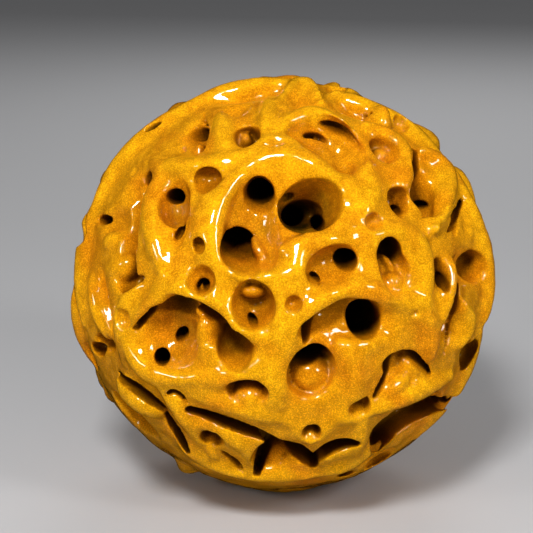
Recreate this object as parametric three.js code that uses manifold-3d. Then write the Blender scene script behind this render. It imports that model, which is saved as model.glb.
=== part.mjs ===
// A carved openwork stone ball, about the size of a large orange: one solid, eaten through by bowls, pits and
// tunnels that meet inside it. Millimetres, +Z up. The ball rests on a small flat spot at the origin, and its
// carved face looks towards -Y and a little up.
import * as THREE from "three";
import { mergeVertices } from "three/addons/utils/BufferGeometryUtils.js";
import Module from "manifold-3d";

const wasm = await Module();
wasm.setup();

// Driving sizes, in millimetres and degrees.
const BALL_RADIUS = 50;
const FOOT_RADIUS = 11; // the flat spot underneath
const FACE_TILT = 15; // how far the carved face looks up
const VIEW_DISTANCE = 420; // the places on the face are as seen from here
const LUMP_HEIGHT = 0.5; // how far the skin swells and sinks from a true ball
const BALL_DETAIL = 9; // cuts along each edge of the icosahedron that the ball starts from
const LEAST_SIDES = 5; // a small burr's sides; a wide one has a side more for every few millimetres
const SIDE_STEP = 3.2;
const NOSE_STEPS = 1; // corners along half of a burr's round nose
const SHANK = 7; // how far a burr stands out of its mouth
const UPWARD = 0.35; // most hollows burrow up as they go in, by this slope

// The carving is the same in manner all round: the front's list comes again, turned, on the faces behind it.
// bearing: round the ball from the front. tilt: how far the face looks up. roll: the list's turn on the face.
// reach: how far from the face's middle its hollows go, as an angle. least: the narrowest hollow it takes.
const FACES = [
  { bearing: 0, tilt: FACE_TILT, roll: 0, reach: 90, least: 0 }, // front
  { bearing: 100, tilt: -8, roll: 75, reach: 46, least: 4.6 }, // right
  { bearing: 258, tilt: 4, roll: 200, reach: 46, least: 4.6 }, // left
  { bearing: 180, tilt: -6, roll: 310, reach: 48, least: 4.6 }, // back
  { bearing: 180, tilt: 76, roll: 320, reach: 50, least: 4.6 }, // crown
  { bearing: 190, tilt: -60, roll: 200, reach: 50, least: 4.6 }, // underside
];
const FRONT_REACH = 74; // the other faces carve nothing closer to the front's middle than this angle
const BACK_SHARE = 0.76; // how wide a hollow is on those faces, beside its size on the front
const CROWDING = 0.6; // hollows of two faces keep this share of their widths between their middles
const FOOT_MARGIN = 2; // clear skin between the flat spot and the nearest hollow

const CENTRE = new THREE.Vector3(0, 0, Math.sqrt(BALL_RADIUS ** 2 - FOOT_RADIUS ** 2));
const DOWN = new THREE.Vector3(0, 0, -1);

// Bowls are soft dents in the skin. at: right of and above the middle of the face, as seen from in front.
// size: across and along. turn: the long axis, anticlockwise from upright.
const BOWLS = [
  { at: [-1.5, 17], size: [30, 29], depth: 5.0 }, // ring bowl round the eye
  { at: [3.5, 38.6], size: [9, 10], depth: 4.0 }, // crescent valley over the ring, in four dents
  { at: [8, 37.6], size: [10, 11], depth: 5.5 },
  { at: [12.8, 34.8], size: [10, 12], depth: 6.0 },
  { at: [15.8, 30], size: [8, 10], depth: 5.5 },
  { at: [-11.6, 43.6], size: [9, 9], depth: 2.8 }, // two pools by the crown
  { at: [4.3, 45.2], size: [9, 13], depth: 3.0 },
  { at: [17, -11], size: [27, 18], depth: 5.0 }, // broad bowl at the lower right
  { at: [7.5, -22.5], size: [15, 18], depth: 3.2 },
  { at: [-28.8, -12.3], size: [17, 18], depth: 8.0 }, // twin cave at the lower left
  { at: [-11.8, -14.8], size: [10, 11], depth: 5.0 },
  { at: [28, 3.5], size: [9, 18], turn: 27, depth: 4.0 }, // chute at the right
  { at: [34, 25], size: [12, 19], turn: 15, depth: 8.0 },
  { at: [45.5, 4.8], size: [16, 11], depth: 5.0 },
  { at: [42, -9], size: [10, 14], depth: 3.5 },
  { at: [-38, 4], size: [16, 13], depth: 3.5 }, // left lobe
  { at: [-41, 16], size: [15, 10], depth: 4.5 },
  { at: [-36.3, 23.5], size: [11, 10], depth: 3.5 },
  { at: [-21, 35], size: [8, 14], depth: 3.0 },
  { at: [-26, 16], size: [8, 14], depth: 2.2 },
  { at: [-11, -38], size: [26, 18], turn: -15, depth: 2.2 }, // lower tier, under the long lip
  { at: [5, -42], size: [18, 14], depth: 3.0 },
  { at: [29.5, -21.5], size: [13, 14], turn: -25, depth: 3.6 },
  { at: [31, -33], size: [24, 16], turn: 30, depth: 4.0 },
  { at: [-33, -28], size: [22, 14], turn: -45, depth: 2.2 },
];

// Burred hollows. deep: along the burr. sink: how far below the skin the mouth lies, inside a bowl.
// lean: extra slope to the right and up, on top of the usual one.
const HOLLOWS = [
  { at: [6.8, 19.8], size: [14.2, 12], turn: 25, deep: 40, sink: 2, lean: [0, -0.1] }, // the eye
  { at: [-5.7, 21.4], size: [7, 7.4], deep: 22, sink: 3, lean: [-0.1, 0.1] },
  { at: [-10, 7.7], size: [9.4, 7], turn: -15, deep: 24, sink: 2, lean: [-0.1, 0] },
  { at: [-4.6, 9], size: [5.4, 8.6], turn: 12, deep: 7, sink: 1.5, lean: [0.1, 0.2] },
  { at: [12.4, 4.9], size: [13.4, 8], turn: 10, deep: 8, lean: [0.1, 0.2] },
  { at: [14.6, 6.6], size: [5.4, 5], deep: 22, sink: 5 },
  { at: [-7.5, -4.6], size: [9.8, 10.8], turn: 15, deep: 8 },
  { at: [-28.6, -16.2], size: [3.8, 3.8], deep: 16, sink: 6 },
  { at: [-24.2, -12.4], size: [3.6, 4.6], turn: -20, deep: 12, sink: 6 },
  { at: [-26.5, -7.2], size: [13, 6], turn: 5, deep: 10, sink: 2, lean: [0, 0.4] },
  { at: [-11.8, -14.4], size: [8, 9.4], deep: 11, sink: 2, lean: [0, 0.2] },
  { at: [19.4, -7.6], size: [8.3, 8.8], deep: 36, sink: 3, lean: [-0.1, -0.2] },
  { at: [9, -8], size: [11, 4], turn: 42, deep: 9, sink: 1, lean: [-0.4, 0.3] },
  { at: [7.2, -19.6], size: [10.8, 11], deep: 18, sink: 1 },
  { at: [25.4, 7.4], size: [5.8, 8], turn: 12, deep: 16, sink: 1 },
  { at: [38.7, 3.2], size: [4.8, 7.2], turn: 5, deep: 8 },
  { at: [45.5, 4.5], size: [9, 7.5], deep: 9, sink: 2 },
  { at: [45.2, -16.6], size: [8, 6.6], turn: -40, deep: 14 },
  { at: [28.2, 20.4], size: [5.8, 6.6], deep: 7, sink: 1, lean: [-0.4, 0] },
  { at: [24.9, 33.2], size: [6.2, 7.4], turn: 25, deep: 4, lean: [-0.3, -0.1] },
  { at: [-8.8, 36.8], size: [6, 6.8], deep: 9, lean: [0, -0.3] },
  { at: [7.4, 36.4], size: [5.8, 2.6], turn: -8, deep: 8, sink: 4, lean: [0, -0.4] },
  { at: [13, 35.6], size: [10, 3], turn: -42, deep: 7, sink: 3, lean: [0.4, 0.1] },
  { at: [-19.4, 36.2], size: [3.2, 4.2], deep: 10, sink: 2, lean: [0.4, 0.1] },
  { at: [-33.2, 25.8], size: [3.4, 3.6], deep: 10, sink: 1, lean: [0.4, 0] },
  { at: [-26.1, 20.6], size: [7.4, 12], deep: 4, sink: 1 },
  { at: [-26.2, 21.3], size: [4.2, 3.8], deep: 18, sink: 3 },
  { at: [-18.1, 25.1], size: [6.8, 6], deep: 3.2 },
  { at: [-41.6, 15.8], size: [6.4, 2.8], deep: 10, sink: 3 },
  { at: [-20, 1.6], size: [6.8, 6.4], deep: 4.5 },
  { at: [-19.2, 0.2], size: [3.2, 2.8], turn: 30, deep: 16, sink: 3 },
  { at: [-36.3, 0.9], size: [8.6, 3], turn: 25, deep: 11, sink: 1, lean: [0.3, -0.5] },
  { at: [-44.4, -4], size: [4, 19], turn: 16, deep: 3.8 },
  { at: [-44, -14.9], size: [11, 4.8], deep: 13 },
  { at: [-33.4, -24.8], size: [15, 3], turn: -42, deep: 10, sink: 2, lean: [0, -0.2] },
  { at: [-25, -34.6], size: [3, 11], turn: 30, deep: 9, sink: 2, lean: [0, -0.2] },
  { at: [-36.6, -32.6], size: [15, 9], turn: -45, deep: 13 },
  { at: [-25.4, -24.8], size: [5.2, 4.4], turn: -35, deep: 5, lean: [0.3, 0.2] },
  { at: [-11.3, -32.9], size: [25, 3.4], turn: -19, deep: 12, sink: 2, lean: [0, -0.1] },
  { at: [-17, -36.8], size: [5.8, 7], deep: 5, lean: [0, 0.4] },
  { at: [-8.8, -25.6], size: [9.4, 6.2], deep: 4.6, lean: [0, 0.5] },
  { at: [-2.6, -40.6], size: [5, 10], turn: -35, deep: 10, sink: 2, lean: [0, -0.1] },
  { at: [3.8, -39.8], size: [10, 4.2], turn: -32, deep: 12, sink: 2, lean: [0, -0.1] },
  { at: [12.6, -38], size: [11, 3.4], turn: 24, deep: 11, sink: 2, lean: [0, -0.1] },
  { at: [18.3, -29.6], size: [5.2, 5], deep: 5, lean: [0, 0.5] },
  { at: [24.4, -21.4], size: [2.8, 12], turn: -36, deep: 8, lean: [-0.4, 0] },
  { at: [30.8, -17.8], size: [8, 3], turn: -20, deep: 7, lean: [0, 0.3] },
  { at: [30.8, -32], size: [23, 9], turn: 28, deep: 16, lean: [0, 0] },
  { at: [23.5, -42.8], size: [10, 5], turn: 25, deep: 9 },
  { at: [-17, -44.4], size: [9, 4], turn: -15, deep: 8 },
];

// A closed three.js geometry as a solid.
function solid(geometry) {
  const bare = geometry.clone();
  bare.deleteAttribute("normal");
  bare.deleteAttribute("uv");
  const merged = mergeVertices(bare, 1e-4);
  return new wasm.Manifold(
    new wasm.Mesh({
      numProp: 3,
      vertProperties: merged.attributes.position.array,
      triVerts: new Uint32Array(merged.index.array),
    }),
  );
}

function geometryOf(made) {
  const mesh = made.getMesh();
  const geometry = new THREE.BufferGeometry();
  geometry.setAttribute("position", new THREE.BufferAttribute(mesh.vertProperties, 3));
  geometry.setIndex(new THREE.BufferAttribute(mesh.triVerts, 1));
  return geometry.toNonIndexed();
}

// A face's own directions: right, up and out.
function faceFrame({ bearing, tilt, roll }) {
  const round = THREE.MathUtils.degToRad(bearing);
  const lift = THREE.MathUtils.degToRad(tilt);
  const level = Math.cos(lift);
  const out = new THREE.Vector3(level * Math.sin(round), -level * Math.cos(round), Math.sin(lift));
  const right = new THREE.Vector3(Math.cos(round), Math.sin(round), 0);
  right.applyAxisAngle(out, THREE.MathUtils.degToRad(roll));
  return { right, up: new THREE.Vector3().crossVectors(out, right), out };
}

// The direction from the ball's centre to the skin that shows at a place on a face.
function faceDirection(frame, [right, up], sink = 0) {
  const radius = BALL_RADIUS - sink;
  const eye = frame.out.clone().multiplyScalar(VIEW_DISTANCE);
  const seen = frame.right.clone().multiplyScalar(right).addScaledVector(frame.up, up);
  const ray = seen.sub(eye).normalize();
  const along = ray.dot(eye);
  const miss = eye.lengthSq() - along ** 2;
  const reach = -along - Math.sqrt(Math.max(radius ** 2 - miss, 0));
  return eye.addScaledVector(ray, reach).normalize();
}

// Two directions square to a hollow's own axis: across and along it, turned about that axis.
function hollowAxes(frame, axis, turn = 0) {
  const pole = Math.abs(axis.dot(frame.up)) > 0.97 ? frame.out : frame.up;
  const across = new THREE.Vector3().crossVectors(pole, axis).normalize();
  across.applyAxisAngle(axis, THREE.MathUtils.degToRad(turn));
  return { across, along: new THREE.Vector3().crossVectors(axis, across) };
}

// The hollows of a list on every face. A face leaves out what would run into the flat spot, the front's carving
// or a hollow of an earlier face.
function placedOnFaces(list, backShare) {
  const taken = [];
  const front = faceFrame(FACES[0]);
  for (const face of FACES) {
    const frame = faceFrame(face);
    const share = face === FACES[0] ? 1 : backShare;
    const offered = list.map((item) => ({
      ...item,
      frame,
      normal: faceDirection(frame, item.at, item.sink),
      size: item.size.map((width) => width * share),
    }));
    const kept = offered.filter(({ normal, size }) => {
      const apart = (other) => THREE.MathUtils.radToDeg(normal.angleTo(other));
      const footRoom = BALL_RADIUS * normal.angleTo(DOWN) - Math.max(...size) / 2;
      if (apart(frame.out) > face.reach || Math.min(...size) < face.least) return false;
      if (footRoom < FOOT_RADIUS + FOOT_MARGIN) return false;
      if (face !== FACES[0] && apart(front.out) < FRONT_REACH) return false;
      return taken.every((other) => {
        const gap = BALL_RADIUS * normal.angleTo(other.normal);
        return gap > CROWDING * (Math.max(...size) + Math.max(...other.size)) / 2;
      });
    });
    taken.push(...kept);
  }
  return taken;
}

// How far a bowl dents the skin in a direction: a smooth dish that fades out at its rim.
function dent(bowl, direction) {
  if (direction.dot(bowl.normal) < 0) return 0;
  const s = (2 * BALL_RADIUS * direction.dot(bowl.axes.across)) / bowl.size[0];
  const t = (2 * BALL_RADIUS * direction.dot(bowl.axes.along)) / bowl.size[1];
  const fade = 1 - Math.min(s * s + t * t, 1);
  return bowl.depth * fade * (2 - fade);
}

function lump(direction) {
  const { x, y, z } = direction;
  return LUMP_HEIGHT * Math.sin(5 * x + 2) * Math.sin(6 * y + 1) * Math.sin(5 * z + 4);
}

// The ball's skin with every bowl dented in.
function dentedBall(bowls) {
  const geometry = new THREE.IcosahedronGeometry(BALL_RADIUS, BALL_DETAIL);
  const position = geometry.attributes.position;
  const direction = new THREE.Vector3();
  for (let i = 0; i < position.count; i++) {
    direction.fromBufferAttribute(position, i).normalize();
    const push = Math.max(...bowls.map((bowl) => dent(bowl, direction)));
    direction.multiplyScalar(BALL_RADIUS - push + lump(direction));
    position.setXYZ(i, direction.x, direction.y, direction.z);
  }
  return solid(geometry);
}

// A round-nosed burr: its nose lies deep below the mouth, and its shank stands out past the skin.
function burr({ size, deep, sink = 0 }) {
  const nose = Math.min(deep, (size[0] + size[1]) / 4);
  const outline = new THREE.Path();
  outline.moveTo(0, -deep);
  outline.absellipse(0, nose - deep, 1, nose, -Math.PI / 2, 0, false);
  outline.lineTo(1, SHANK + sink);
  outline.lineTo(0, SHANK + sink);
  const points = outline.getPoints(NOSE_STEPS);
  const sides = LEAST_SIDES + Math.floor((size[0] + size[1]) / 2 / SIDE_STEP);
  const geometry = new THREE.LatheGeometry(points, sides);
  return geometry.scale(size[0] / 2, 1, size[1] / 2);
}

// The way a hollow goes in: straight back near the middle of its face, towards the ball's centre at the edge.
function inwardFrom({ frame, normal, lean = [0, 0] }) {
  const edge = 1 - Math.max(normal.dot(frame.out), 0) ** 2;
  const inward = frame.out.clone().multiplyScalar(edge - 1).addScaledVector(normal, -edge).normalize();
  return inward.addScaledVector(frame.right, lean[0]).addScaledVector(frame.up, UPWARD + lean[1]).normalize();
}

function burredHollow(hollow) {
  const { frame, normal, turn, sink = 0 } = hollow;
  const outward = inwardFrom(hollow).negate();
  const { across, along } = hollowAxes(frame, outward, turn);
  const place = new THREE.Matrix4().makeBasis(across, outward, along.negate());
  place.setPosition(normal.clone().multiplyScalar(BALL_RADIUS - sink));
  return solid(burr(hollow).applyMatrix4(place));
}

function carvedBall() {
  const bowls = placedOnFaces(BOWLS, 1);
  const hollows = placedOnFaces(HOLLOWS, BACK_SHARE);
  for (const bowl of bowls) bowl.axes = hollowAxes(bowl.frame, bowl.normal, bowl.turn);
  let ball = dentedBall(bowls);
  for (const hollow of hollows) ball = ball.subtract(burredHollow(hollow));
  const ground = new THREE.BoxGeometry(2 * BALL_RADIUS, 2 * BALL_RADIUS, 2 * BALL_RADIUS);
  ball = ball.subtract(solid(ground.translate(0, 0, -BALL_RADIUS - CENTRE.z)));
  const pieces = ball.decompose().sort((a, b) => b.volume() - a.volume()); // crumbs cut loose fall away
  return geometryOf(pieces[0]);
}

const stone = new THREE.MeshStandardMaterial({ color: 0xc98a12, roughness: 0.16, metalness: 0 });
const ball = new THREE.Mesh(carvedBall(), stone);
ball.name = "carved_ball";
ball.position.copy(CENTRE);

const part = new THREE.Group();
part.add(ball);

export default part;
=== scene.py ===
import math

import bpy
from mathutils import Matrix, Vector


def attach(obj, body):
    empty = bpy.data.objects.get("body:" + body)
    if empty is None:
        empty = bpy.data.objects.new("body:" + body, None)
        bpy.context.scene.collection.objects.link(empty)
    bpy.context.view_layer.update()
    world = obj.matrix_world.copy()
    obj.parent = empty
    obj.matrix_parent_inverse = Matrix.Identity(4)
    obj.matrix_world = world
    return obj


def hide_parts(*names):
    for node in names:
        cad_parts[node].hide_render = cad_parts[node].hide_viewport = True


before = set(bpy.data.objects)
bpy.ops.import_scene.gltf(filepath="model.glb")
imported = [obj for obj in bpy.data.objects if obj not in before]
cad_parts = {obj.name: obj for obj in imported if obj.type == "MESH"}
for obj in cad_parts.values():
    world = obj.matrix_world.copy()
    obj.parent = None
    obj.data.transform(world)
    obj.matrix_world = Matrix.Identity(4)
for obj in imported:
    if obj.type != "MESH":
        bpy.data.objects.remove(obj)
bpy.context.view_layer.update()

mm = 0.001

# The ball, in millimetres and degrees.
# A place on a face is right of and above the face's middle, as the camera sees it.
ball = {
    "radius": 50,
    "bed": 48.3,          # the stone between the strands lies this far from the centre
    "subdivisions": 7,
    "footRadius": 11,     # flat spot that a plain ball would have
    "footPad": {"width": 28, "high": 2.93, "up": 2.2},   # swelling that is cut flat for it
    "faceTilt": 15,       # the front looks up by this much
    "viewDistance": 420,
    "upward": 0.35,       # most hollows burrow up as they go in, by this slope
    "bowlSteep": 1.2,     # how round a bowl's burr is, beside its depth
    "bowlOpen": 0.9,      # how far up its burr a bowl's rim may lie
    "burrSubdivisions": 3,
    "lumpHeight": 1.4,
    "lumpSize": 11,
    "rippleHeight": 0.3,
    "rippleSize": 3.5,
    "triangles": 190000,
}
# after each stage the stone is fused at this voxel and smoothed this often
passes = {
    "bowls": {"voxel": 0.8, "smooth": 12},
    "hollows": {"voxel": 0.55, "smooth": 7},
    "details": {"voxel": 0.48, "smooth": 3},
}
smoothing = 0.5
centre = Vector((0, 0, math.sqrt(ball["radius"] ** 2 - ball["footRadius"] ** 2)))
down = Vector((0, 0, -1))

# The front's carving comes again, turned, on the other faces.
# reach: how far from its middle a face is carved. least: the narrowest hollow cut there.
faces = [
    {"name": "front", "bearing": 0, "tilt": ball["faceTilt"], "roll": 0, "reach": 90, "least": 0},
    {"name": "right", "bearing": 100, "tilt": -8, "roll": 75, "reach": 46, "least": 4.6},
    {"name": "left", "bearing": 258, "tilt": 4, "roll": 200, "reach": 46, "least": 4.6},
    {"name": "back", "bearing": 180, "tilt": -6, "roll": 310, "reach": 48, "least": 4.6},
    {"name": "crown", "bearing": 180, "tilt": 76, "roll": 320, "reach": 50, "least": 4.6},
    {"name": "underside", "bearing": 190, "tilt": -60, "roll": 200, "reach": 50, "least": 4.6},
    {"name": "shoulder", "bearing": 216, "tilt": 30, "roll": 130, "reach": 32, "least": 4.6},
]
spacing = {
    "frontReach": 74,            # the other faces carve nothing closer to the front's middle
    "backShare": 0.76,           # how wide a hollow is on those faces, beside its size on the front
    "crowding": 0.6,             # hollows keep this share of their widths between their middles
    "footMargin": 2,
    "leastPit": 1.5,             # the narrowest small pit cut on any face
    "strandLumps": 3,            # lumps in the width of a strand
    "strandWave": (0.15, 0.7),   # where on half a wave its taper starts, and how much it takes up
    "frontFall": (0, 1.6),       # how low a strand lies, and how far its ends fall
    "backFall": (0.2, 4),
    "lipBurrs": 5,               # burrs in the width of a slot
    "lipWave": (0.12, 0.76),
    "lipBlunt": 0.6,             # under 1 leaves the slot wide for longer
    "lipSink": 2,
}

# Strands are ropes of stone. from, by, to: along the crest. rise: how far it stands proud.
strands = [
    {"from": (14.5, 23), "by": (3, 32), "to": (-10.5, 28.6), "width": 6, "rise": 0.8},   # ring round the eye
    {"from": (-9.5, 29), "by": (-17.6, 17), "to": (-15.5, 5), "width": 6, "rise": 1.0},
    {"from": (-15.5, 5.5), "by": (-5, 2.2), "to": (5, 5), "width": 5.5, "rise": 0.3},
    {"from": (-1, 9), "by": (8, 11.4), "to": (18, 12), "width": 5.5, "rise": -0.3},
    {"from": (13.5, 27), "by": (19.5, 21), "to": (22, 10), "width": 8, "rise": 0.3},
    {"from": (4.5, 10), "by": (3, 4), "to": (4, -2), "width": 6, "rise": 0.2},
    {"from": (-1, 38.5), "by": (9.5, 41.4), "to": (20, 30.5), "width": 6, "rise": 1.0},   # over the crescent
    {"from": (20, 31), "by": (21.5, 25), "to": (21, 19), "width": 7, "rise": 0.5},
    {"from": (8, 37.4), "by": (12, 35), "to": (14.2, 30), "width": 3.4, "rise": -4.4},
    {"from": (-1, 44.5), "by": (4.6, 49), "to": (9.5, 45), "width": 4, "rise": 1.2},   # crown
    {"from": (-3.4, 46), "by": (-3.8, 42), "to": (-4.8, 38), "width": 4.2, "rise": 1.0},
    {"from": (-15.2, 43), "by": (-15, 38), "to": (-14.2, 33.5), "width": 6, "rise": 0.9},
    {"from": (-35, 31), "by": (-22, 29.4), "to": (-8, 33.2), "width": 6, "rise": 0.7},   # upper left
    {"from": (-9, 33), "by": (-2, 35.5), "to": (4, 34), "width": 5.5, "rise": 0.4},
    {"from": (-18.5, 23), "by": (-20.2, 14), "to": (-18.5, 5), "width": 6, "rise": 0.6},
    {"from": (-31, 26), "by": (-32.4, 16), "to": (-29.5, 4), "width": 6.5, "rise": 0.9},
    {"from": (-15.5, 4), "by": (-22, 0), "to": (-31, 0.5), "width": 7, "rise": 0.5},
    {"from": (-36, 0), "by": (-39.5, -8), "to": (-38.5, -19), "width": 6.5, "rise": 0.5},
    {"from": (-37.5, -10), "by": (-26, -0.6), "to": (-13.5, -6.5), "width": 6, "rise": 0.8},   # twin cave
    {"from": (-14, -6.5), "by": (-10, -10.5), "to": (-4, -13), "width": 5, "rise": 0.5},
    {"from": (-38, -13), "by": (-33, -20.5), "to": (-23, -22.5), "width": 6.5, "rise": 1.2},
    {"from": (-23, -22.5), "by": (-13, -22.2), "to": (-4, -18), "width": 6.5, "rise": 0.5},
    {"from": (1.5, -14), "by": (6, -5.5), "to": (15, -0.8), "width": 6, "rise": 0.8},   # broad bowl
    {"from": (15, -0.8), "by": (22, -1), "to": (29, -4.5), "width": 6, "rise": 1.2},
    {"from": (-1.5, 3), "by": (-0.8, -8), "to": (-1, -18), "width": 8, "rise": 0.4},
    {"from": (-4, -16), "by": (-3.2, -24), "to": (-2, -31), "width": 10, "rise": 0.4},
    {"from": (14.5, -14), "by": (18, -23), "to": (15, -31.5), "width": 8, "rise": 0.4},
    {"from": (15.5, -17), "by": (20.5, -15), "to": (26, -13.5), "width": 6, "rise": -0.8},
    {"from": (20, 39), "by": (28.8, 33), "to": (29, 23), "width": 6, "rise": 1.4},   # upper right
    {"from": (33.5, 32.5), "by": (39.6, 25.5), "to": (36.5, 14), "width": 6.5, "rise": 2.0},
    {"from": (39.5, 30), "by": (44, 22), "to": (46, 12), "width": 6, "rise": 0.5},
    {"from": (22, 12.5), "by": (32, 11), "to": (35, -3), "width": 7, "rise": 1.3},
    {"from": (29, -4), "by": (35, -8), "to": (36, -17), "width": 6.5, "rise": 1.3},
    {"from": (41, 6.5), "by": (40.6, 0), "to": (39.2, -8), "width": 4, "rise": 0.8},
    {"from": (42, -3.5), "by": (45.2, -8), "to": (43.2, -14.5), "width": 4.5, "rise": 1.0},
    {"from": (20.5, -30), "by": (30.5, -26.2), "to": (40.5, -22), "width": 5.5, "rise": 1.5},
    {"from": (-24, -25.5), "by": (-12, -29.4), "to": (1, -33.2), "width": 7, "rise": 0.3},   # long lip
    {"from": (1, -33.2), "by": (7, -36.6), "to": (13, -33), "width": 6.5, "rise": -0.2},
    {"from": (12, -33), "by": (16, -32), "to": (20, -32), "width": 5, "rise": 0.2},
    {"from": (-20, -34), "by": (-11.5, -38), "to": (-7.5, -44), "width": 8, "rise": 0.2},   # lower tier
    {"from": (9.5, -43.5), "by": (14, -40.4), "to": (20, -41), "width": 8, "rise": 0.2},
    {"from": (-25, -38), "by": (-21.5, -41), "to": (-17, -43.5), "width": 7, "rise": 0.3},
    {"from": (19.6, -31), "by": (18.8, -37), "to": (16.5, -43), "width": 5, "rise": 0.5},
    {"from": (-30.5, -22.5), "by": (-25.5, -30), "to": (-20.5, -38), "width": 6, "rise": 0.5},
    {"from": (-22, -42), "by": (-8, -45.8), "to": (8, -46.2), "width": 6, "rise": 0.6},
    {"from": (8, -46), "by": (16, -43.5), "to": (22, -39.5), "width": 5, "rise": 0.5},
    {"from": (-44, 22), "by": (-48.6, 8), "to": (-48.4, -9), "width": 7, "rise": 0.9},   # at the edge
    {"from": (-20, 45), "by": (-36, 33.6), "to": (-45.4, 19), "width": 7, "rise": 1.3},
    {"from": (-24, 43), "by": (-11, 48), "to": (3, 49.2), "width": 6, "rise": 1},
    {"from": (13, 47), "by": (28.4, 39.8), "to": (39, 30.4), "width": 7, "rise": 0.9},
    {"from": (40, 29), "by": (48.4, 9), "to": (48.6, -8), "width": 7, "rise": 1.6},
    {"from": (48.6, -9), "by": (44, -23), "to": (33, -37), "width": 7, "rise": 0.2},
]

# Bowls are soft dents. at, size across and along, turn from upright, depth.
bowls = [
    {"at": (-1.5, 16.5), "size": (29, 28), "depth": 5.0},   # ring bowl round the eye
    {"at": (-8, 15.5), "size": (16.5, 23), "depth": 8},
    {"at": (3.5, 38.6), "size": (8, 9), "depth": 4},   # crescent valley over the ring
    {"at": (8, 37.6), "size": (9.5, 10), "depth": 6},
    {"at": (12.8, 34.8), "size": (9.5, 11), "depth": 7},
    {"at": (15.8, 30.6), "size": (7.5, 9), "depth": 6.5},
    {"at": (15.8, 27.4), "size": (5.5, 6), "depth": 4.5},
    {"at": (-11.6, 43.7), "size": (7.5, 9), "depth": 3.0},   # pools by the crown
    {"at": (4.3, 45.2), "size": (7.5, 13), "depth": 3.4},
    {"at": (17, -11), "size": (26, 17), "depth": 5.2},   # broad bowl at the lower right
    {"at": (7.5, -22.5), "size": (15, 18), "depth": 3.4},
    {"at": (-28.8, -12.3), "size": (16, 17), "depth": 9},   # twin cave at the lower left
    {"at": (-11.8, -14.8), "size": (9.6, 11), "depth": 5.5},
    {"at": (34, 25), "size": (10, 18), "turn": 15, "depth": 10},   # valleys at the upper right
    {"at": (19, 43.8), "size": (16, 12), "depth": 4.5},
    {"at": (38.8, 31), "size": (10, 8), "depth": 3.0},
    {"at": (45.5, 4.8), "size": (14, 10), "depth": 5.0},
    {"at": (42, -9), "size": (9, 14), "depth": 3.5},
    {"at": (-41, 16), "size": (14, 9), "depth": 4.5},   # left lobes
    {"at": (-36.3, 23.5), "size": (11, 10), "depth": 3.5},
    {"at": (12.4, 5), "size": (16, 10), "depth": 1.8},
    {"at": (1, -42), "size": (14, 12), "depth": 4},
    {"at": (29.5, -21.5), "size": (13, 13), "depth": 3.6},
    {"at": (31, -34), "size": (24, 16), "turn": 30, "depth": 4.0},
]

# Ramps run down under a lip of skin. deep: along the burr. lean: right and up, beside each step in.
ramps = [
    {"at": (-22.5, 36.8), "size": (5, 14), "turn": 42, "deep": 7, "lean": (1.1, 0.1)},
    {"at": (-26.3, 15.5), "size": (4, 12), "deep": 5, "lean": (1, 0)},
    {"at": (-38, 15), "size": (6, 26), "turn": 6, "deep": 8, "lean": (1, 0)},
    {"at": (-39.5, 4), "size": (7, 10), "deep": 8, "lean": (1, -0.4)},
    {"at": (-44.4, -4), "size": (4, 20), "turn": 16, "deep": 5, "lean": (0.9, 0.1)},
    {"at": (28, 2), "size": (8, 7.5), "deep": 9, "lean": (-0.5, 1)},
    {"at": (14, -9.5), "size": (20, 8), "turn": 20, "deep": 9, "lean": (-0.4, 1)},
    {"at": (29, -20), "size": (11, 6), "deep": 7, "lean": (-0.3, 1)},
    {"at": (34.5, 24.5), "size": (7, 16), "deep": 7, "lean": (-0.9, -0.1)},
    {"at": (-21, -9), "size": (22, 8), "turn": -18, "deep": 8, "lean": (0, 1)},
    {"at": (41.8, -6), "size": (5, 20), "turn": -10, "deep": 6, "lean": (-0.9, 0)},
    {"at": (42.5, 17), "size": (3, 12), "turn": -25, "deep": 6, "lean": (-0.7, 0)},
    {"at": (12.4, 35.2), "size": (17, 6.5), "turn": -42, "deep": 8, "lean": (0.5, 0.6)},
]

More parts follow.
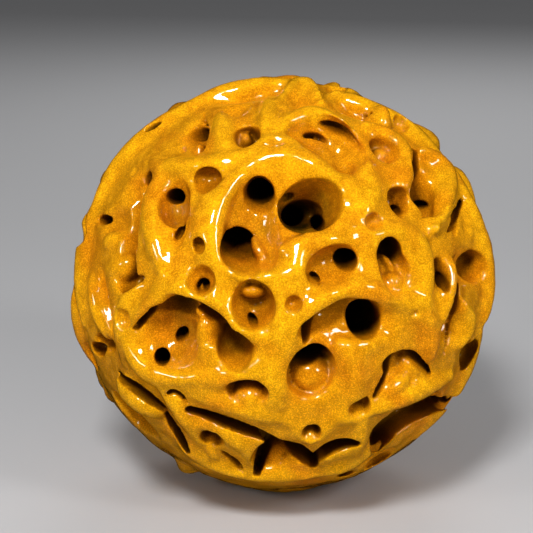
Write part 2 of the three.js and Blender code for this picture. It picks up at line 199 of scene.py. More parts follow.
# Lips hang over a dark slot in the front. from, by, to: along the slot. gap: how wide it is.
lips = [
    {"from": (-22.5, -28.9), "by": (-11, -33), "to": (0, -37.4),
     "gap": 3.2, "deep": 12, "lean": (0, 0.3)},
    {"from": (-1, -37.6), "by": (3.6, -39.7), "to": (7.2, -42.4),
     "gap": 4.4, "deep": 12, "lean": (0, 0.25)},
    {"from": (7, -42.2), "by": (10.8, -38.4), "to": (17.4, -36.6),
     "gap": 3.4, "deep": 11, "lean": (0, 0.25)},
    {"from": (5.2, -13), "by": (9.4, -7), "to": (15.4, -4.8),
     "gap": 3, "deep": 9, "lean": (-0.4, 0.5)},
    {"from": (21.3, -26), "by": (24.6, -20.8), "to": (28, -16.6),
     "gap": 2.1, "deep": 7, "lean": (-0.5, 0.3)},
    {"from": (27.6, -17.6), "by": (30.6, -17.2), "to": (34.6, -20.6),
     "gap": 2.4, "deep": 6, "lean": (0.1, 0.6)},
    {"from": (30.4, 32.6), "by": (32, 27), "to": (32.2, 21.8),
     "gap": 2.6, "deep": 7, "lean": (-0.5, 0)},
    {"from": (-38.8, -20.8), "by": (-33.4, -24.6), "to": (-28, -29.2),
     "gap": 2.4, "deep": 6, "lean": (0.2, 0.3)},
    {"from": (-27.6, -30.4), "by": (-25, -34.6), "to": (-22, -38.8),
     "gap": 2.6, "deep": 6, "lean": (0.2, 0.2)},
    {"from": (-35, -9.5), "by": (-28, -4.8), "to": (-20, -4.8),
     "gap": 3, "deep": 9, "lean": (0, 0.9)},
    {"from": (-20, -5.4), "by": (-15, -9.4), "to": (-10, -12),
     "gap": 2, "deep": 7, "lean": (0, 0.6)},
    {"from": (-19, 41), "by": (-18.9, 37), "to": (-19.3, 33),
     "gap": 1.3, "deep": 4, "lean": (0.6, 0.1)},
    {"from": (14.5, 42.8), "by": (20, 40.6), "to": (26, 39.1),
     "gap": 1, "deep": 2.5, "lean": (0, -0.4)},
    {"from": (41.8, 20.6), "by": (41, 16.5), "to": (39, 13),
     "gap": 1.8, "deep": 3.6, "lean": (-0.4, 0)},
    {"from": (42, 5), "by": (40.7, -6), "to": (38.3, -16),
     "gap": 1.4, "deep": 3.6, "lean": (-0.5, 0)},
    {"from": (4.6, 36.6), "by": (7.4, 36.7), "to": (10.2, 35.4),
     "gap": 1.5, "deep": 8, "lean": (0, -0.2)},
    {"from": (9, 38.6), "by": (13, 35.8), "to": (16.4, 31),
     "gap": 2.6, "deep": 6.5, "lean": (0.4, 0.4)},
    {"from": (-27.6, -24.7), "by": (-25.4, -24.3), "to": (-23, -27),
     "gap": 1.5, "deep": 5, "lean": (0.2, 0.7)},
    {"from": (-6.2, -43.8), "by": (-3.2, -39), "to": (1, -37.2),
     "gap": 3.4, "deep": 10, "lean": (0, 0.3)},
    {"from": (22.2, -38.4), "by": (27.4, -32.9), "to": (39.4, -27.2),
     "gap": 6.2, "deep": 14, "lean": (-0.05, 0.1)},
]

# Hollows are cut by a burr. sink: how far down the mouth lies, inside a bowl.
# straight: goes straight back from the face, not square to the skin.
# Each has its own beads, which are lobes left standing in it, and its own deeper holes.
hollows = [
    {"at": (6.8, 19.8), "size": (14.2, 12), "turn": 25, "deep": 13, "sink": 1.5,   # the eye
     "lean": (-0.25, -0.1),
     "beads": [{"at": (6.2, 15), "size": (2.6, 8), "turn": 25, "high": 5, "sink": 10}],
     "holes": [{"at": (4.4, 17.2), "size": (10, 7), "turn": 8, "deep": 9, "sink": 9, "lean": (0, 0.15)},
               {"at": (2.2, 16.9), "size": (5.2, 4.8), "deep": 26, "sink": 13, "lean": (0, 0.1)},
               {"at": (8.2, 15.2), "size": (2.8, 3.6), "deep": 20, "sink": 11, "lean": (0, 0.1)},
               {"at": (1.2, 18.6), "size": (5.5, 4), "turn": 15, "deep": 12, "sink": 2}]},
    {"at": (-5.7, 20.8), "size": (7.2, 8.6), "deep": 9, "sink": 3, "lean": (-0.1, 0.6),
     "holes": [{"at": (-5.6, 22), "size": (6.2, 5.4), "deep": 20, "sink": 5}]},
    {"at": (-10, 7.7), "size": (9.4, 7), "turn": -15, "deep": 22, "sink": 2, "lean": (-0.15, 0.4)},
    {"at": (-4.6, 9), "size": (5.4, 8.6), "turn": 12, "deep": 6, "sink": 1.5, "lean": (0.1, 0.6),
     "beads": [{"at": (-5.6, 8.2), "size": (3.2, 9.5), "turn": 27, "high": 3.5, "sink": 5}]},
    {"at": (12.4, 4.9), "size": (13.4, 8), "turn": 10, "deep": 7, "lean": (0.15, 0.55),
     "holes": [{"at": (14.6, 6.6), "size": (5.2, 4.8), "deep": 18, "sink": 4},
               {"at": (7.2, 1.5), "size": (3.2, 1.6), "turn": -35, "deep": 8, "sink": 2}]},
    {"at": (-7.5, -4.6), "size": (9.8, 10.8), "turn": 15, "deep": 8, "lean": (0.05, 0.4),
     "beads": [{"at": (-7.7, -0.8), "size": (6, 3.6), "high": 3, "sink": 3}],
     "holes": [{"at": (-7.4, -7.7), "size": (2.6, 1.5), "turn": -40, "deep": 12, "sink": 5}]},
    {"at": (-20, 1.6), "size": (6.8, 6.4), "deep": 4.5,
     "holes": [{"at": (-19.2, 0.2), "size": (3, 2.4), "turn": 30, "deep": 14, "sink": 3}]},
    {"at": (-26.5, -7.4), "size": (12, 6.5), "turn": 5, "deep": 10, "sink": 2, "lean": (0, 0.8),
     "beads": [{"at": (-20.3, -5.8), "size": (3, 2.8), "high": 3, "sink": 2.5}],
     "holes": [{"at": (-28.6, -16.3), "size": (3.6, 3.8), "deep": 14, "sink": 6, "lean": (0, 0.1),
                "straight": True},
               {"at": (-24.2, -12.4), "size": (2.6, 4.2), "turn": -35, "deep": 10, "sink": 6,
                "straight": True}]},
    {"at": (-11.8, -14.6), "size": (8, 9.4), "deep": 10, "sink": 2, "lean": (0, 0.6),
     "beads": [{"at": (-19.8, -11.5), "size": (5.4, 12), "turn": -8, "high": 6, "sink": 1.5}],
     "holes": [{"at": (-16.4, -7.9), "size": (9, 2.6), "turn": -35, "deep": 8, "sink": 1,
                "lean": (0.1, 0.8)},
               {"at": (-13.4, -10.4), "size": (5, 2.6), "turn": -38, "deep": 10, "sink": 3,
                "lean": (0.1, 0.7)}]},
    {"at": (19.4, -7.8), "size": (7.6, 8.8), "turn": 10, "deep": 34, "sink": 3, "lean": (-0.1, 0.1)},
    {"at": (6.8, -21), "size": (10.8, 13), "turn": -10, "deep": 12, "sink": 1, "lean": (-0.1, 0.35),
     "beads": [{"at": (7, -22.8), "size": (11, 9), "high": 5, "sink": 4}],
     "holes": [{"at": (6, -17), "size": (8.6, 3.6), "turn": 15, "deep": 16, "sink": 5}]},
    {"at": (25.4, 7.4), "size": (5.8, 8), "turn": 12, "deep": 14, "sink": 1, "lean": (-0.05, 0.4),
     "beads": [{"at": (26.2, 4.6), "size": (2.4, 8), "turn": 30, "high": 3, "sink": 4.5}]},
    {"at": (38.7, 3.2), "size": (4.4, 7.2), "turn": 5, "deep": 7, "lean": (-0.4, 0.2),
     "beads": [{"at": (39.4, 4.6), "size": (2.6, 4), "high": 2.5, "sink": 2.5}],
     "holes": [{"at": (37.4, 1.2), "size": (2.2, 3.6), "deep": 8, "sink": 3}]},
    {"at": (45.5, 4.5), "size": (9, 7.5), "deep": 8, "sink": 2,
     "holes": [{"at": (44.6, 5.4), "size": (4.6, 4.4), "deep": 6, "sink": 3, "lean": (-0.3, 0.2),
                "straight": True}]},
    {"at": (45.2, -16.6), "size": (8, 6.6), "turn": -40, "deep": 9,
     "holes": [{"at": (44.2, -16.4), "size": (3.2, 8.4), "turn": -32, "deep": 5, "sink": 2,
                "lean": (-0.2, 0.1), "straight": True}]},
    {"at": (28.2, 20.4), "size": (5.8, 6.6), "deep": 6, "sink": 1, "lean": (-0.4, 0.3),
     "holes": [{"at": (27.4, 17.8), "size": (2.4, 2.1), "deep": 9, "sink": 3}]},
    {"at": (24.9, 33.2), "size": (6.2, 7.4), "turn": 25, "deep": 6.5, "lean": (-0.3, 0.2),
     "beads": [{"at": (24.2, 32.2), "size": (4.4, 5), "high": 3, "sink": 2.6}]},
    {"at": (-8.8, 36.8), "size": (6, 6.8), "deep": 9, "lean": (0, 0),
     "beads": [{"at": (-9.3, 36.2), "size": (3.7, 4.4), "high": 4, "sink": 3.2}]},
    {"at": (-11.4, 43.4), "size": (7.6, 8), "turn": -15, "deep": 2.6, "sink": 1, "lean": (0, 0.2)},
    {"at": (-19.4, 36.2), "size": (2.7, 3.6), "deep": 9, "sink": 4, "lean": (0.5, 0.4),
     "beads": [{"at": (-20.4, 33.4), "size": (3, 4), "high": 3, "sink": 2.4}]},
    {"at": (-33.2, 25.8), "size": (3.4, 3.6), "deep": 10, "sink": 1, "lean": (0.4, 0.3)},
    {"at": (-26.1, 20.6), "size": (7.4, 12.5), "deep": 5, "sink": 1.4,
     "holes": [{"at": (-26.1, 21.2), "size": (4.2, 3.7), "deep": 16, "sink": 3}]},
    {"at": (-41.6, 15.8), "size": (6.4, 2.4), "deep": 10, "sink": 3},
    {"at": (-36.2, 0.7), "size": (8, 2.6), "turn": 25, "deep": 10, "sink": 1.5, "lean": (0.3, -0.3)},
    {"at": (-44, -14.9), "size": (10, 4.6), "deep": 8,
     "holes": [{"at": (-43.8, -15), "size": (5.6, 3.2), "turn": -10, "deep": 5, "sink": 2,
                "lean": (0.2, 0.1), "straight": True}]},
    {"at": (-36.6, -32.6), "size": (16, 9), "turn": -45, "deep": 13},
    {"at": (-2.6, -41), "size": (9, 12), "turn": -30, "deep": 12, "sink": 1, "lean": (0, 0.6),
     "beads": [{"at": (-1, -43.4), "size": (7, 8), "high": 4, "sink": 2.5}]},
    {"at": (31, -33), "size": (22, 13), "turn": 27, "deep": 10, "lean": (-0.1, 0.4),
     "beads": [{"at": (25.4, -37.6), "size": (6.4, 9), "high": 5, "sink": 1.6}]},
    {"at": (23.5, -42.8), "size": (10, 7), "turn": 25, "deep": 6,
     "holes": [{"at": (22.8, -41.9), "size": (8, 2.4), "turn": 30, "deep": 4.6, "sink": 1.6,
                "lean": (0, 0.1), "straight": True}]},
    {"at": (-8.8, -25.4), "size": (9.6, 6.4), "deep": 8, "lean": (0, 0.5), "straight": True,   # arched pits
     "beads": [{"at": (-8.7, -27.8), "size": (7.6, 6.4), "high": 4.4, "sink": 0.2}]},
    {"at": (18.3, -29.6), "size": (5.2, 5), "deep": 6, "lean": (0, 0.9),
     "beads": [{"at": (18.4, -31.2), "size": (4.2, 4), "high": 2.6, "sink": 0.9}]},
    {"at": (6.7, -35.6), "size": (4.6, 4.6), "deep": 7, "lean": (0, 0.5), "straight": True,
     "beads": [{"at": (6.7, -37.3), "size": (3.4, 3.8), "high": 3, "sink": 0.6}]},
    {"at": (-17, -36.6), "size": (5.6, 6), "deep": 7, "sink": 1, "lean": (0, 0.5), "straight": True,
     "beads": [{"at": (-17.2, -40.8), "size": (4.6, 8.6), "high": 4, "sink": 0.6}]},
    {"at": (-17.5, -44.6), "size": (9, 4), "turn": -15, "deep": 8},
]

# Lobes swell out below the lips. high: half the lobe's thickness. sink: how far down its top lies.
lobes = [
    {"at": (-36.6, -28), "size": (15, 8.2), "turn": -42, "high": 4.4, "sink": -1.6},
    {"at": (27, -25.4), "size": (11, 5), "turn": 35, "high": 3.4, "sink": -0.2},
    {"at": (32, -21.4), "size": (5, 10), "turn": 48, "high": 4, "sink": 1.4},
    {"at": (-42.4, 11), "size": (9, 6), "turn": 15, "high": 4, "sink": 0.6},
    {"at": (-41.4, 4.6), "size": (10, 7), "turn": 20, "high": 4, "sink": 0.8},
    {"at": (-46.2, -4), "size": (5, 18), "turn": 16, "high": 4, "sink": 0.2},
    {"at": (24.6, 42.4), "size": (5.4, 9), "turn": -20, "high": 5, "sink": -2},
    {"at": (40.4, -22), "size": (2.6, 4), "turn": -20, "high": 2.5, "sink": 0},
    {"at": (27.6, 0.6), "size": (5.5, 6), "turn": 20, "high": 3.5, "sink": 2.2},
]

# Small pits and slots between them.
finePits = [
    {"at": (32.7, 19.1), "size": (3.8, 1.8), "deep": 9, "sink": 6, "straight": True},
    {"at": (-25.1, 12.3), "size": (1.8, 4), "turn": -25, "deep": 8, "sink": 1.5},
    {"at": (-18.1, 25.3), "size": (6.8, 5.8), "deep": 4.2, "sink": 1.5, "lean": (0, 0.6)},
    {"at": (-20.4, 9.8), "size": (3.1, 3.8), "deep": 3.6},
    {"at": (2.3, -4.1), "size": (3.9, 3.8), "deep": 3},
    {"at": (22, 15.6), "size": (4.8, 4.2), "deep": 3.2},
    {"at": (17.5, 16.1), "size": (1, 1), "deep": 1.2},
    {"at": (31.3, -6.3), "size": (1.8, 1.8), "deep": 0.9},
    {"at": (-2.2, 34.6), "size": (5.6, 4), "deep": 0.9},
    {"at": (-24.6, 32.8), "size": (1.8, 2.2), "deep": 4},
    {"at": (28.5, 39), "size": (4, 5), "deep": 2.5},
    {"at": (-36.4, 28), "size": (2.4, 4), "deep": 2},
    {"at": (-38.4, -7.8), "size": (4.4, 5), "deep": 1.8, "lean": (0.6, 0.2)},
    {"at": (15, -45), "size": (4.6, 2), "turn": 14, "deep": 4, "sink": 1.6, "lean": (0, 0.1),
     "straight": True},
    {"at": (-41.5, 9.2), "size": (20, 2), "turn": 18, "deep": 1.6},
    {"at": (-12.2, -42), "size": (1.8, 8), "turn": 33, "deep": 8, "sink": 1},
    {"at": (-30.9, 37.7), "size": (1.6, 5), "turn": -45, "deep": 5},
]


def faceFrame(face):
    bearing, tilt = math.radians(face["bearing"]), math.radians(face["tilt"])
    level = math.cos(tilt)
    out = Vector((level * math.sin(bearing), -level * math.cos(bearing), math.sin(tilt)))
    right = Vector((math.cos(bearing), math.sin(bearing), 0))
    right.rotate(Matrix.Rotation(math.radians(face["roll"]), 3, out))
    return {"right": right, "up": out.cross(right), "out": out}


# where the skin shows at a place on a face, from the ball's centre
def faceNormal(axes, at, sink=0):
    radius = ball["radius"] - sink
    eye = axes["out"] * ball["viewDistance"]
    ray = (axes["right"] * at[0] + axes["up"] * at[1] - eye).normalized()
    along = ray.dot(eye)
    miss = eye.length_squared - along ** 2
    return (eye + ray * (-along - math.sqrt(max(radius ** 2 - miss, 0)))).normalized()


# straight back near the middle of a face, towards the ball's centre at its edge
def wayIn(axes, normal, lean):
    edge = 1 - max(normal.dot(axes["out"]), 0) ** 2
    inward = (axes["out"] * (edge - 1) - normal * edge).normalized()
    return (inward + axes["right"] * lean[0] + axes["up"] * lean[1]).normalized()


# across, along and out of a hollow, turned about its own axis
def hollowTurn(axes, outward, turn):
    nearlyUpright = 0.97
    pole = axes["out"] if abs(outward.dot(axes["up"])) > nearlyUpright else axes["up"]
    across = pole.cross(outward).normalized()
    across.rotate(Matrix.Rotation(math.radians(turn), 3, outward))
    return Matrix((across, outward.cross(across), outward)).transposed()


# a list's hollows on every face, less those that would run into the foot, the front's carving or each other
def placedOnFaces(items, backShare, taken, least=None):
    frontOut = faceFrame(faces[0])["out"]
    placed = []
    for face in faces:
        axes = faceFrame(face)
        kept = []
        for item in items:
            normal = faceNormal(axes, item["at"], item.get("sink", 0))
            share = 1 if face["name"] == "front" else backShare
            size = [share * width for width in item["size"]]
            footRoom = ball["radius"] * normal.angle(down) - max(size) / 2
            narrowest = face["least"] if least is None else least
            if math.degrees(normal.angle(axes["out"])) > face["reach"] or min(size) < narrowest:
                continue
            if footRoom < ball["footRadius"] + spacing["footMargin"]:
                continue
            if face["name"] != "front" and math.degrees(normal.angle(frontOut)) < spacing["frontReach"]:
                continue
            room = [ball["radius"] * normal.angle(other["normal"]) - spacing["crowding"]
                    * (max(size) + max(other["size"])) / 2 for other in taken]
            if face["name"] == "front" or not room or min(room) > 0:
                where = {"face": face["name"], "axes": axes, "normal": normal}
                kept.append({**item, **where, "size": size, "share": share})
        taken += kept
        placed += kept
    return placed


# the beads or holes that go with the hollows, drawn in with them where they are smaller
def detailsOf(placed, kind):
    details = []
    for hollow in placed:
        for item in hollow.get(kind, []):
            at = [own + hollow["share"] * (part - own) for own, part in zip(hollow["at"], item["at"])]
            size = [hollow["share"] * width for width in item["size"]]
            normal = faceNormal(hollow["axes"], at, item.get("sink", 0))
            details.append({**item, "axes": hollow["axes"], "normal": normal, "size": size})
    return details


def only(piece):
    bpy.ops.object.select_all(action="DESELECT")
    piece.select_set(True)
    bpy.context.view_layer.objects.active = piece


# one burr is modelled, and every cutter and lump is a copy of it
bpy.ops.object.select_all(action="DESELECT")
bpy.ops.mesh.primitive_ico_sphere_add(subdivisions=ball["burrSubdivisions"], radius=1)
pattern = bpy.context.object
pattern.name = "burr"


def addBurr(place, turn, size):
    burr = pattern.copy()
    burr.data = pattern.data.copy()
    bpy.context.collection.objects.link(burr)
    burr.location = place * mm
    burr.rotation_euler = turn.to_euler()
    burr.scale = [s * mm for s in size]
    return burr


def bowlBurr(bowl):
    turn = hollowTurn(bowl["axes"], bowl["normal"], bowl.get("turn", 0))
    thick = ball["bowlSteep"] * bowl["depth"]
    lift = thick - bowl["depth"]
    widths = []
    for width in bowl["size"]:
        fall = width ** 2 / (8 * ball["radius"])   # the skin drops away by this much at the rim
        widths.append(width / 2 / math.sqrt(1 - min((lift + fall) / thick, ball["bowlOpen"]) ** 2))
    return addBurr(centre + bowl["normal"] * (ball["radius"] + lift), turn, (*widths, thick))


def hollowBurr(hollow):
    facing = hollow["axes"]["out"] if hollow.get("straight") else hollow["normal"]
    outward = -wayIn(hollow["axes"], facing, hollow.get("lean", (0, ball["upward"])))
    turn = hollowTurn(hollow["axes"], outward, hollow.get("turn", 0))
    mouth = centre + hollow["normal"] * (ball["radius"] - hollow.get("sink", 0))
    return addBurr(mouth, turn, (hollow["size"][0] / 2, hollow["size"][1] / 2, hollow["deep"]))


def beadLump(bead):
    turn = hollowTurn(bead["axes"], bead["normal"], bead.get("turn", 0))
    place = centre + bead["normal"] * (ball["radius"] - bead["sink"] - bead["high"])
    return addBurr(place, turn, (bead["size"][0] / 2, bead["size"][1] / 2, bead["high"]))


# places along a strand or a lip, with how far along each is
def placesAlong(path, step):
    start, by, end = (Vector(path[key]) for key in ("from", "by", "to"))
    bend = by * 2 - (start + end) / 2
    count = math.ceil(((by - start).length + (end - by).length) / step)
    for part in range(count + 1):
        t = part / count
        yield t, start * (1 - t) ** 2 + bend * 2 * t * (1 - t) + end * t ** 2


# beads close together, which taper to the ends
def strandLumps(strand):
    lumps = []
    low, fall = spacing["frontFall"] if strand["face"] == "front" else spacing["backFall"]
    start, span = spacing["strandWave"]
    for t, at in placesAlong(strand, strand["width"] / spacing["strandLumps"]):
        full = math.sin(math.pi * (start + span * t))
        width = strand["width"] * full
        normal = faceNormal(strand["axes"], at)
        sink = low + fall * (1 - full) - strand["rise"]
        lumps.append(beadLump({"axes": strand["axes"], "normal": normal, "size": (width, width),
                               "high": width / 2, "sink": sink}))
    return lumps


# burrs close together, along a slot that narrows to its ends
def lipBurrs(lip):
    burrs = []
    start, span = spacing["lipWave"]
    for t, at in placesAlong(lip, lip["gap"] / spacing["lipBurrs"]):
        gap = lip["gap"] * math.sin(math.pi * (start + span * t)) ** spacing["lipBlunt"]
        normal = faceNormal(lip["axes"], at, spacing["lipSink"])
        burrs.append(hollowBurr({**lip, "normal": normal, "size": (gap, gap), "sink": spacing["lipSink"],
                                 "straight": True}))
    return burrs


# strands and lips on every face, each spaced by its length
def placedPaths(paths):
    spaced = []
    for path in paths:
        length = (Vector(path["to"]) - Vector(path["from"])).length
        spaced.append({**path, "at": path["by"], "size": (length, length)})
    return placedOnFaces(spaced, 1, [])


def joined(burrs, name):
    bpy.ops.object.select_all(action="DESELECT")
    for burr in burrs:
        burr.select_set(True)
    bpy.context.view_layer.objects.active = burrs[0]
    bpy.ops.object.join()
    burrs[0].name = name
    bpy.ops.object.transform_apply(location=True, rotation=True, scale=True)
    return burrs[0]


def fuse(piece, voxel):
    only(piece)
    piece.data.remesh_voxel_size = voxel * mm
    piece.data.remesh_voxel_adaptivity = 0
    bpy.ops.object.voxel_remesh()


def applyModifier(piece, kind, **settings):
    only(piece)
    modifier = piece.modifiers.new(kind.lower(), kind)
    for key, value in settings.items():
        setattr(modifier, key, value)
    bpy.ops.object.modifier_apply(modifier=modifier.name)


def combine(piece, burrs, operation, voxel):
    fuse(burrs, voxel)
    applyModifier(piece, "BOOLEAN", operation=operation, object=burrs, solver="MANIFOLD")
    bpy.data.objects.remove(burrs)


def soften(piece, voxel, smooth):
    fuse(piece, voxel)
    applyModifier(piece, "SMOOTH", factor=smoothing, iterations=smooth)


bpy.ops.object.select_all(action="DESELECT")
bpy.ops.mesh.primitive_ico_sphere_add(subdivisions=ball["subdivisions"], radius=ball["bed"] * mm,
                                      location=centre * mm)
stone = bpy.context.object
stone.name = "carvedBall"
bpy.ops.object.transform_apply(location=True, rotation=True, scale=True)
lumps = bpy.data.textures.new("lumps", "CLOUDS")
lumps.noise_scale = ball["lumpSize"] * mm
applyModifier(stone, "DISPLACE", texture=lumps, texture_coords="LOCAL", mid_level=0.5,
              strength=ball["lumpHeight"] * mm)
print("ball turned")

softBurrs = [bowlBurr(bowl) for bowl in placedOnFaces(bowls, 1, [])]
combine(stone, joined(softBurrs, "softBurrs"), "DIFFERENCE", passes["bowls"]["voxel"])
ropeLumps = sum((strandLumps(strand) for strand in placedPaths(strands)), [])
pad = ball["footPad"]
padSize = (pad["width"] / 2, pad["width"] / 2, pad["high"])
ropeLumps.append(addBurr(Vector((0, 0, pad["up"])), Matrix.Identity(3), padSize))
combine(stone, joined(ropeLumps, "ropeLumps"), "UNION", passes["bowls"]["voxel"])
soften(stone, **passes["bowls"])
print("bowls cut and strands left", len(stone.data.polygons))

taken = []
placedHollows = placedOnFaces(hollows, spacing["backShare"], taken)
hollowBurrs = [hollowBurr(hollow) for hollow in placedOnFaces(ramps, 1, []) + placedHollows]
combine(stone, joined(hollowBurrs, "hollowBurrs"), "DIFFERENCE", passes["hollows"]["voxel"])
soften(stone, **passes["hollows"])
print("hollows cut", len(stone.data.polygons))

beads = detailsOf(placedHollows, "beads") + placedOnFaces(lobes, 1, [])
beadLumps = [beadLump(bead) for bead in beads]
combine(stone, joined(beadLumps, "beadLumps"), "UNION", passes["details"]["voxel"])
holes = detailsOf(placedHollows, "holes") + placedOnFaces(finePits, 1, taken, spacing["leastPit"])
holeBurrs = [hollowBurr(hole) for hole in holes]
holeBurrs += sum((lipBurrs(lip) for lip in placedPaths(lips) if lip["face"] == "front"), [])
combine(stone, joined(holeBurrs, "holeBurrs"), "DIFFERENCE", passes["details"]["voxel"])
soften(stone, **passes["details"])
bpy.data.objects.remove(pattern)
print("lobes left and holes cut", len(stone.data.polygons))

# the foot is cut flat, and crumbs that were cut loose are cleared
onPlane = 1e-6
only(stone)
bpy.ops.object.mode_set(mode="EDIT")
bpy.ops.mesh.select_all(action="SELECT")
bpy.ops.mesh.bisect(plane_co=(0, 0, 0), plane_no=(0, 0, 1), use_fill=True, clear_inner=True,
                    threshold=onPlane)
bpy.ops.mesh.select_all(action="SELECT")
bpy.ops.mesh.quads_convert_to_tris()
bpy.ops.object.mode_set(mode="OBJECT")
bpy.ops.mesh.separate(type="LOOSE")
crumbs = sorted(bpy.context.selected_objects, key=lambda crumb: len(crumb.data.vertices))
stone = crumbs.pop()
print("foot cut and crumbs cleared", len(crumbs))
for crumb in crumbs:
    bpy.data.objects.remove(crumb)
stone.name = "carvedBall"
ripples = bpy.data.textures.new("ripples", "CLOUDS")
ripples.noise_scale = ball["rippleSize"] * mm
applyModifier(stone, "DISPLACE", texture=ripples, texture_coords="LOCAL", mid_level=0.5,
              strength=ball["rippleHeight"] * mm)
applyModifier(stone, "DECIMATE", ratio=min(1, ball["triangles"] / len(stone.data.polygons)))
bpy.ops.object.shade_smooth()
print("ball finished", len(stone.data.polygons))

# The stone: ochre on the ridges, redder in the dips, with a fine golden grain; painted shade darkens it to
# olive brown and near black deep in the holes.
finish = {
    # deepest and the depth ramp: a redder tone in the dips, and painted shade that darkens the colour towards
    # near black deep in the holes
    "deepest": 14,              # mm under the skin where the colour is darkest
    "toneAndShadeByDepth": [(0.0, (0.040, 0.024, 0.002)), (0.3, (0.22, 0.108, 0.003)), (0.55, (0.52, 0.195, 0.003)),
                (0.78, (0.67, 0.252, 0.003)), (1.0, (0.73, 0.330, 0.004))],
    # painted shade: the colour is darkened in the recesses, where stone shuts out the light
    "recess": 9,                # mm round a point where stone shuts out the light
    "recessRays": 8,
    "paintedShadeByRecess": [(0.1, (0.12, 0.10, 0.08)), (0.3, (0.35, 0.30, 0.28)), (0.5, (0.85, 0.78, 0.75)),
                 (0.75, (1, 1, 1))],
    "polish": [(0.42, (0.1, 0.1, 0.1)), (0.72, (1, 1, 1))],   # less glaze in the recesses
    "patchNoise": {"scale": 95, "detail": 3},
    "patchMask": [(0.48, (0, 0, 0)), (0.68, (0.72, 0.72, 0.72))],
    "patch": (0.62, 0.19, 0.003),
    "mottleNoise": {"scale": 420, "detail": 2},
    "mottle": [(0.3, (0.84, 0.80, 0.8)), (0.7, (1.14, 1.16, 1.1))],
    "grainNoise": {"scale": 3200, "detail": 1},
    "grain": [(0.32, (0.75, 0.72, 0.67)), (0.55, (1.0, 1.0, 1.0)), (0.68, (1.38, 1.43, 1.33))],
    "roughness": {"From Min": 0.3, "From Max": 0.7, "To Min": 0.32, "To Max": 0.5},
    "rippleBump": {"Strength": 0.5, "Distance": 0.00025},
    "grainBump": {"Strength": 0.35, "Distance": 0.00004},
    "coatRoughness": 0.03,
    "sheenLevel": 0.3,
    "sheenTint": (1.0, 0.55, 0.01),
}
skin = bpy.data.materials.new("ochreStone")
skin.use_nodes = True
nodes, links = skin.node_tree.nodes, skin.node_tree.links
shader = nodes["Principled BSDF"]
shader.inputs["Coat Roughness"].default_value = finish["coatRoughness"]
shader.inputs["Specular IOR Level"].default_value = finish["sheenLevel"]
shader.inputs["Specular Tint"].default_value = (*finish["sheenTint"], 1)

place = nodes.new("ShaderNodeTexCoord")
fromCentre = nodes.new("ShaderNodeVectorMath")
fromCentre.operation = "SUBTRACT"
fromCentre.inputs[1].default_value = centre * mm
links.new(place.outputs["Object"], fromCentre.inputs[0])
distance = nodes.new("ShaderNodeVectorMath")
distance.operation = "LENGTH"
links.new(fromCentre.outputs["Vector"], distance.inputs[0])
height = nodes.new("ShaderNodeMapRange")
height.inputs["From Min"].default_value = (ball["radius"] - finish["deepest"]) * mm
height.inputs["From Max"].default_value = ball["radius"] * mm
links.new(distance.outputs["Value"], height.inputs["Value"])


def addNoise(scale, detail):
    noise = nodes.new("ShaderNodeTexNoise")
    noise.inputs["Scale"].default_value = scale
    noise.inputs["Detail"].default_value = detail
    links.new(place.outputs["Object"], noise.inputs["Vector"])
    return noise.outputs["Fac"]


def addRamp(value, stops):
    ramp = nodes.new("ShaderNodeValToRGB")
    for spot, colour in stops[2:]:
        ramp.color_ramp.elements.new(spot)
    for element, (spot, colour) in zip(ramp.color_ramp.elements, stops):
        element.position = spot
        element.color = (*colour, 1)
    links.new(value, ramp.inputs["Fac"])
    return ramp.outputs["Color"]


patchNoise = addNoise(**finish["patchNoise"])
mottleNoise = addNoise(**finish["mottleNoise"])
grainNoise = addNoise(**finish["grainNoise"])
# by depth under the skin: a redder tone in the dips, and painted shade deep in the holes
depthToneAndShade = addRamp(height.outputs["Result"], finish["toneAndShadeByDepth"])


# one colour over another, by a factor that is a number or a socket
def blend(kind, factor, first, second):
    mix = nodes.new("ShaderNodeMix")
    mix.data_type = "RGBA"
    mix.blend_type = kind
    factorSocket, firstSocket, secondSocket = mix.inputs[0], mix.inputs[6], mix.inputs[7]
    for value, socket in ((factor, factorSocket), (first, firstSocket), (second, secondSocket)):
        if isinstance(value, bpy.types.NodeSocket):
            links.new(value, socket)
        elif isinstance(value, tuple):
            socket.default_value = (*value, 1)
        else:
            socket.default_value = value
    return mix.outputs[2]


patchMask = addRamp(patchNoise, finish["patchMask"])
colour = blend("MIX", patchMask, depthToneAndShade, finish["patch"])
# painted shade: occlusion darkens the colour in recesses and slots; it also thins the glaze there
shadeAndGlazeOcclusion = nodes.new("ShaderNodeAmbientOcclusion")
shadeAndGlazeOcclusion.samples = finish["recessRays"]
shadeAndGlazeOcclusion.only_local = True
shadeAndGlazeOcclusion.inputs["Distance"].default_value = finish["recess"] * mm
colour = blend("MULTIPLY", 1.0, colour, addRamp(shadeAndGlazeOcclusion.outputs["AO"], finish["paintedShadeByRecess"]))
links.new(addRamp(shadeAndGlazeOcclusion.outputs["AO"], finish["polish"]), shader.inputs["Coat Weight"])
colour = blend("MULTIPLY", 1.0, colour, addRamp(mottleNoise, finish["mottle"]))
colour = blend("MULTIPLY", 1.0, colour, addRamp(grainNoise, finish["grain"]))
links.new(colour, shader.inputs["Base Color"])


def addNode(kind, settings):
    node = nodes.new(kind)
    for key, value in settings.items():
        node.inputs[key].default_value = value
    return node


gloss = addNode("ShaderNodeMapRange", finish["roughness"])
links.new(mottleNoise, gloss.inputs["Value"])
links.new(gloss.outputs["Result"], shader.inputs["Roughness"])
ripple = addNode("ShaderNodeBump", finish["rippleBump"])
links.new(mottleNoise, ripple.inputs["Height"])
pimple = addNode("ShaderNodeBump", finish["grainBump"])
links.new(grainNoise, pimple.inputs["Height"])
links.new(ripple.outputs["Normal"], pimple.inputs["Normal"])
links.new(pimple.outputs["Normal"], shader.inputs["Normal"])
stone.data.materials.clear()
stone.data.materials.append(skin)

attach(stone, "root")
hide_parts("carved_ball")
print("stone coloured")

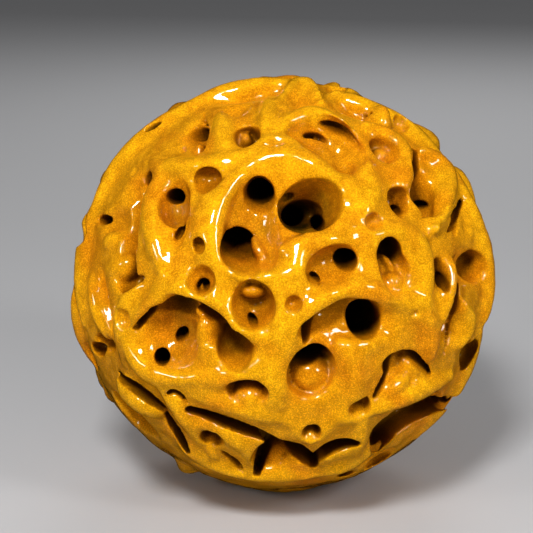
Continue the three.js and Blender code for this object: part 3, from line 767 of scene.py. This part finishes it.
# Floor, light and camera. Lamps are in metres and watts, and glint is whether the glaze mirrors them.
studio = {
    "floorRadius": 2,
    "floorSides": 96,
    "floorColour": (0.54, 0.54, 0.55),
    "floorRoughness": 0.6,
    "skyColour": (0.85, 0.85, 0.86),
    "skyStrength": 0.16,
    "lamps": [
        {"name": "keyLamp", "place": (-0.10, -0.46, 0.50), "power": 3.6, "size": 0.12, "glint": True},
        {"name": "rightLamp", "place": (0.36, -0.40, 0.38), "power": 1.05, "size": 0.12, "glint": True},
        {"name": "leftLamp", "place": (-0.44, -0.38, 0.30), "power": 0.5, "size": 0.09, "glint": True},
        {"name": "fillLamp", "place": (0.18, -0.60, 0.20), "power": 0.6, "size": 0.3, "glint": False},
        {"name": "backLamp", "place": (0.10, 0.60, 0.45), "power": 1.3, "size": 0.3, "glint": False},
    ],
}
bpy.ops.mesh.primitive_circle_add(vertices=studio["floorSides"], radius=studio["floorRadius"],
                                  fill_type="NGON")
floor = bpy.context.object
floor.name = "floor"
paper = bpy.data.materials.new("paper")
paper.use_nodes = True
paperShader = paper.node_tree.nodes["Principled BSDF"]
paperShader.inputs["Base Color"].default_value = (*studio["floorColour"], 1)
paperShader.inputs["Roughness"].default_value = studio["floorRoughness"]
floor.data.materials.append(paper)
floor.visible_glossy = False

world = bpy.data.worlds.new("studio")
bpy.context.scene.world = world
world.use_nodes = True
sky = world.node_tree.nodes["Background"]
sky.inputs["Color"].default_value = (*studio["skyColour"], 1)
sky.inputs["Strength"].default_value = studio["skyStrength"]
world.cycles_visibility.glossy = False
bpy.context.scene.view_settings.view_transform = "Standard"

for light in studio["lamps"]:
    bpy.ops.object.light_add(type="AREA", location=light["place"])
    lamp = bpy.context.object
    lamp.name = light["name"]
    lamp.data.energy = light["power"]
    lamp.data.size = light["size"]
    lamp.visible_glossy = light["glint"]
    lamp.rotation_euler = (centre * mm - Vector(light["place"])).to_track_quat("-Z", "Y").to_euler()

# the camera looks square at the front, with the ball's middle at this pixel
view = {"frameWidth": 126.9, "pixels": 533, "ballAt": (282, 285), "nearest": 0.01}
front = faceFrame(faces[0])
bpy.ops.object.camera_add()
camera = bpy.context.object
aside = [(middle - view["pixels"] / 2) * view["frameWidth"] / view["pixels"] for middle in view["ballAt"]]
target = centre - front["right"] * aside[0] + front["up"] * aside[1]
camera.location = (target + front["out"] * ball["viewDistance"]) * mm
camera.rotation_euler = front["out"].to_track_quat("Z", "Y").to_euler()
camera.data.lens = camera.data.sensor_width * ball["viewDistance"] / view["frameWidth"]
camera.data.clip_start = view["nearest"]
bpy.context.scene.camera = camera
print("studio set")
